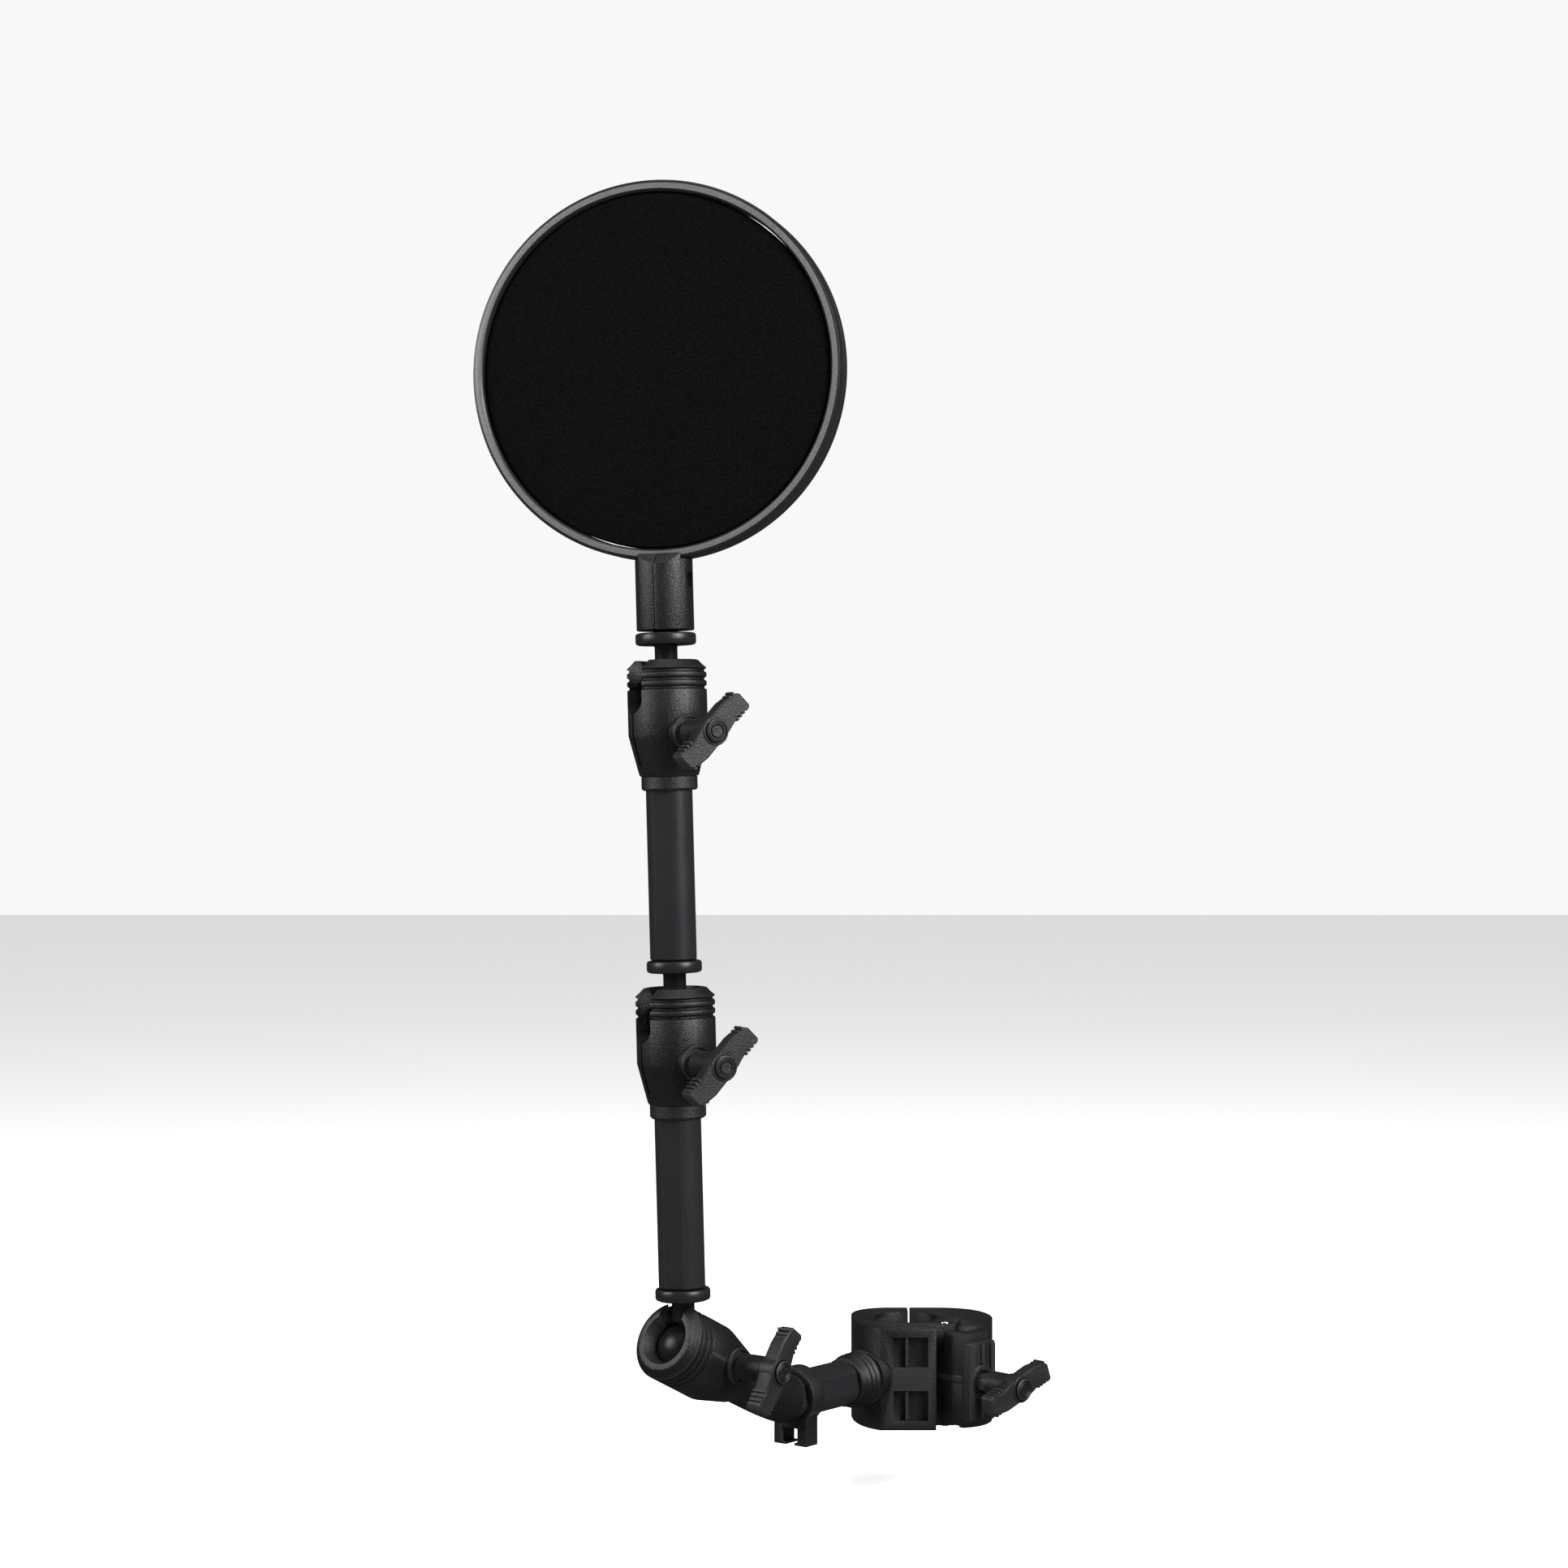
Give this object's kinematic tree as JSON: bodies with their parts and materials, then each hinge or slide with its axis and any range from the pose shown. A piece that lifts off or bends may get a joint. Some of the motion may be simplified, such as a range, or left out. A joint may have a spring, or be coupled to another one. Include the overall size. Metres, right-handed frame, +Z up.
{
  "type": "pop filter",
  "caption": "Round foam pop filter on an arm of ball joints with tightening levers and a screw clamp for an upright pole.",
  "frame": {"origin": "on the axis of the clamped pole, half way up the clamp", "axes": "+Z up along the pole, -Y towards the side the screen faces, +X to the right seen from there"},
  "size_m": [0.2407, 0.1864, 0.5207],
  "materials": {
    "body": "satin, fine moulded grain",
    "handle": "matte, moulded",
    "rubber": "matte",
    "foam": "open-cell foam",
    "coated": "satin black coating",
    "chrome": "polished"
  },
  "bodies": {
    "clamp": {"clamp_body": "body", "pole_liner": "rubber", "hinge_pin_top": "chrome", "hinge_pin_bottom": "chrome", "boss_collar": "body", "arm_tube_0": "coated", "cup_1": "body", "lever_nut_1": "coated"},
    "gate": {"clamp_gate": "body", "nut_plate": "handle"},
    "screw_pad": {"pressure_pad": "rubber"},
    "screw": {"clamp_screw": "coated", "clamp_handle": "handle", "clamp_handle_cap": "body"},
    "clip": {"cable_clip": "handle"},
    "lower_arm": {"arm_tube_1": "coated", "arm_collar_1": "body", "cup_2": "body", "lever_nut_2": "coated"},
    "upper_arm": {"arm_tube_2": "coated", "arm_collar_2": "body", "cup_3": "body", "lever_nut_3": "coated"},
    "filter": {"front_ring": "coated", "rear_ring": "coated", "front_foam": "foam", "rear_foam": "foam", "wire_mesh": "coated", "holder_left": "body", "holder_right": "body"},
    "lever_1": {"lever_1": "handle", "lever_bolt_1": "coated", "lever_cap_1": "body"},
    "swivel_1": {"ball_1": "coated"},
    "neck_1": {"ball_stud_1": "coated"},
    "lever_2": {"lever_2": "handle", "lever_bolt_2": "coated", "lever_cap_2": "body"},
    "swivel_2": {"ball_2": "coated"},
    "neck_2": {"ball_stud_2": "coated"},
    "lever_3": {"lever_3": "handle", "lever_bolt_3": "coated", "lever_cap_3": "body"},
    "swivel_3": {"ball_3": "coated"},
    "neck_3": {"ball_stud_3": "coated"}
  },
  "joints": [
    {"name": "gate_hinge", "type": "hinge", "parent": "clamp", "child": "gate", "pos_m": [0.0165, -0.0145, 0], "axis": [0, 0, -1], "range_deg": [0, 34]},
    {"name": "screw_travel", "type": "slide", "parent": "gate", "child": "screw_pad", "axis": [0.682, -0.7314, 0], "range_m": [0, 0.0046]},
    {"name": "screw_turn", "type": "hinge", "parent": "screw_pad", "child": "screw", "pos_m": [0.02728, -0.02925, 0], "axis": [0.682, -0.7314, 0], "range_deg": [0, 1080]},
    {"name": "clip_slide", "type": "slide", "parent": "clamp", "child": "clip", "axis": [-0.6157, -0.788, 0], "range_m": [-0.026, 0.001]},
    {"name": "lever_1_turn", "type": "hinge", "parent": "clamp", "child": "lever_1", "pos_m": [-0.08504, -0.10884, 0.02259], "axis": [0.788, -0.6157, 0], "range_deg": [-120, 60]},
    {"name": "swing_1", "type": "hinge", "parent": "clamp", "child": "swivel_1", "pos_m": [-0.09363, -0.11984, 0.02933], "axis": [0.268, 0.343, 0.9003], "range_deg": [-4, 4]},
    {"name": "tilt_1", "type": "hinge", "parent": "swivel_1", "child": "neck_1", "pos_m": [-0.09363, -0.11984, 0.02933], "axis": [-0.788, 0.6157, 0], "range_deg": [-82, 25]},
    {"name": "spin_1", "type": "hinge", "parent": "neck_1", "child": "lower_arm", "pos_m": [-0.09363, -0.11984, 0.02933], "axis": [-0.0262, 0, 0.9997], "continuous": true},
    {"name": "lever_2_turn", "type": "hinge", "parent": "lower_arm", "child": "lever_2", "pos_m": [-0.09667, -0.11984, 0.1453], "axis": [0.5149, -0.8572, 0.0135], "range_deg": [-120, 60]},
    {"name": "swing_2", "type": "hinge", "parent": "lower_arm", "child": "swivel_2", "pos_m": [-0.09707, -0.11984, 0.16079], "axis": [-0.8569, -0.515, -0.0224], "range_deg": [-12, 12]},
    {"name": "tilt_2", "type": "hinge", "parent": "swivel_2", "child": "neck_2", "pos_m": [-0.09707, -0.11984, 0.16079], "axis": [0.5149, -0.8572, 0.0135], "range_deg": [-14, 90]},
    {"name": "spin_2", "type": "hinge", "parent": "neck_2", "child": "upper_arm", "pos_m": [-0.09707, -0.11984, 0.16079], "axis": [-0.0262, 0, 0.9997], "continuous": true},
    {"name": "lever_3_turn", "type": "hinge", "parent": "upper_arm", "child": "lever_3", "pos_m": [-0.10011, -0.11984, 0.27675], "axis": [0.5149, -0.8572, 0.0135], "range_deg": [-120, 60]},
    {"name": "swing_3", "type": "hinge", "parent": "upper_arm", "child": "swivel_3", "pos_m": [-0.10051, -0.11984, 0.29224], "axis": [-0.8569, -0.515, -0.0224], "range_deg": [-12, 12]},
    {"name": "tilt_3", "type": "hinge", "parent": "swivel_3", "child": "neck_3", "pos_m": [-0.10051, -0.11984, 0.29224], "axis": [0.5149, -0.8572, 0.0135], "range_deg": [-14, 90]},
    {"name": "spin_3", "type": "hinge", "parent": "neck_3", "child": "filter", "pos_m": [-0.10051, -0.11984, 0.29224], "axis": [-0.0262, 0, 0.9997], "continuous": true}
  ],
  "couplings": [
    {"joint": "screw_travel", "follows": "screw_turn", "m_per_rad": 0.00023873}
  ]
}
